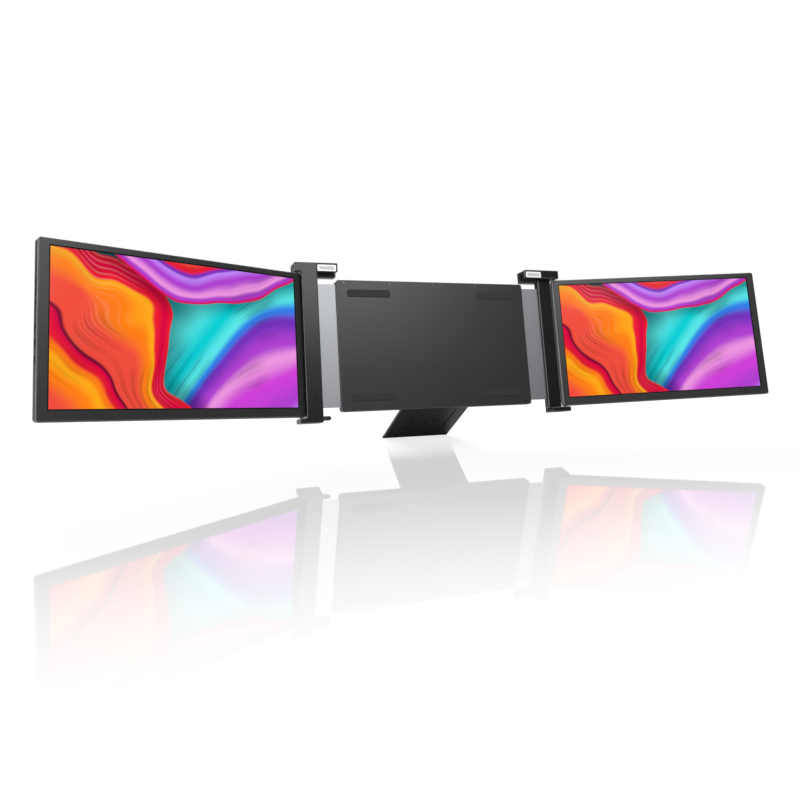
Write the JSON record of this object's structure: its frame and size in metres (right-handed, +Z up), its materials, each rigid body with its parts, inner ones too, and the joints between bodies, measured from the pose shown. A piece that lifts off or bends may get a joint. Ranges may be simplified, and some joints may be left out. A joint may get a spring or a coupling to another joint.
{
  "type": "laptop screen extender",
  "caption": "Laptop screen extender: hinged side screens on sliding clip brackets, joined by a hub with a kickstand behind the laptop's lid.",
  "frame": {"origin": "middle of the laptop lid's top edge, on the side of its display", "axes": "+X to the user's right along the lid's top edge, +Y away from the user, +Z up"},
  "size_m": [0.9778, 0.2208, 0.2566],
  "materials": {
    "shell": "satin",
    "shell_dark": "satin",
    "steel": "satin",
    "rubber": "matte",
    "plate": "satin",
    "glass": "gloss",
    "tray": "satin",
    "board": "gloss",
    "cable": "satin",
    "button": "satin",
    "nylon": "matte"
  },
  "bodies": {
    "hub": {"hub_shell": "shell_dark", "hub_cover": "shell", "guide_rails": "steel", "slide_springs": "steel", "lid_pads": "rubber", "hub_screws": "steel", "kickstand_pin": "steel"},
    "kickstand": {"kickstand_leg": "shell", "kickstand_foot": "rubber"},
    "bracket_left": {"bracket_shell_left": "shell", "bracket_cover_left": "shell_dark", "slide_plate_left": "steel", "clip_trim_left": "shell_dark", "clip_plate_left": "plate", "lid_grips_left": "rubber", "bottom_hook_left": "shell_dark", "bracket_screws_left": "steel", "top_pin_left": "steel", "bottom_pin_left": "steel"},
    "screen_left": {"bezel_left": "shell", "rear_cover_left": "shell", "display_panel_left": "glass", "backlight_tray_left": "tray", "driver_board_left": "board", "flat_cable_left": "cable", "ports_left": "steel", "hinge_blocks_left": "steel", "hinge_washers_left": "nylon", "screen_screws_left": "steel"},
    "power_button_left": {"power_button_left": "button"},
    "up_button_left": {"up_button_left": "button"},
    "down_button_left": {"down_button_left": "button"},
    "bracket_right": {"bracket_shell_right": "shell", "bracket_cover_right": "shell_dark", "slide_plate_right": "steel", "clip_trim_right": "shell_dark", "clip_plate_right": "plate", "lid_grips_right": "rubber", "bottom_hook_right": "shell_dark", "bracket_screws_right": "steel", "top_pin_right": "steel", "bottom_pin_right": "steel"},
    "screen_right": {"bezel_right": "shell", "rear_cover_right": "shell", "display_panel_right": "glass", "backlight_tray_right": "tray", "driver_board_right": "board", "flat_cable_right": "cable", "ports_right": "steel", "hinge_blocks_right": "steel", "hinge_washers_right": "nylon", "screen_screws_right": "steel"},
    "power_button_right": {"power_button_right": "button"},
    "up_button_right": {"up_button_right": "button"},
    "down_button_right": {"down_button_right": "button"}
  },
  "joints": [
    {"name": "kickstand_fold", "type": "hinge", "parent": "hub", "child": "kickstand", "pos_m": [0, -0.021, -0.17757], "axis": [-1, 0, 0], "range_deg": [-113.3, 10.5]},
    {"name": "bracket_slide_left", "type": "slide", "parent": "hub", "child": "bracket_left", "axis": [-1, 0, 0], "range_m": [-0.021, 0.033]},
    {"name": "screen_fold_left", "type": "hinge", "parent": "bracket_left", "child": "screen_left", "pos_m": [-0.1935, -0.01524, -0.09748], "axis": [0, 0.2113, 0.9774], "range_deg": [-112.2, 67.8]},
    {"name": "power_button_press_left", "type": "slide", "parent": "screen_left", "child": "power_button_left", "axis": [0.9259, 0.3693, -0.0798], "range_m": [0, 0.0004], "stiffness_N_per_m": 600, "springref_m": -0.0002},
    {"name": "up_button_press_left", "type": "slide", "parent": "screen_left", "child": "up_button_left", "axis": [0.9259, 0.3693, -0.0798], "range_m": [0, 0.0004], "stiffness_N_per_m": 600, "springref_m": -0.0002},
    {"name": "down_button_press_left", "type": "slide", "parent": "screen_left", "child": "down_button_left", "axis": [0.9259, 0.3693, -0.0798], "range_m": [0, 0.0004], "stiffness_N_per_m": 600, "springref_m": -0.0002},
    {"name": "bracket_slide_right", "type": "slide", "parent": "hub", "child": "bracket_right", "axis": [1, 0, 0], "range_m": [-0.021, 0.033]},
    {"name": "screen_fold_right", "type": "hinge", "parent": "bracket_right", "child": "screen_right", "pos_m": [0.1935, -0.01524, -0.09748], "axis": [0, -0.2113, -0.9774], "range_deg": [-105.6, 74.4]},
    {"name": "power_button_press_right", "type": "slide", "parent": "screen_right", "child": "power_button_right", "axis": [-0.9632, 0.2628, -0.0568], "range_m": [0, 0.0004], "stiffness_N_per_m": 600, "springref_m": -0.0002},
    {"name": "up_button_press_right", "type": "slide", "parent": "screen_right", "child": "up_button_right", "axis": [-0.9632, 0.2628, -0.0568], "range_m": [0, 0.0004], "stiffness_N_per_m": 600, "springref_m": -0.0002},
    {"name": "down_button_press_right", "type": "slide", "parent": "screen_right", "child": "down_button_right", "axis": [-0.9632, 0.2628, -0.0568], "range_m": [0, 0.0004], "stiffness_N_per_m": 600, "springref_m": -0.0002}
  ]
}
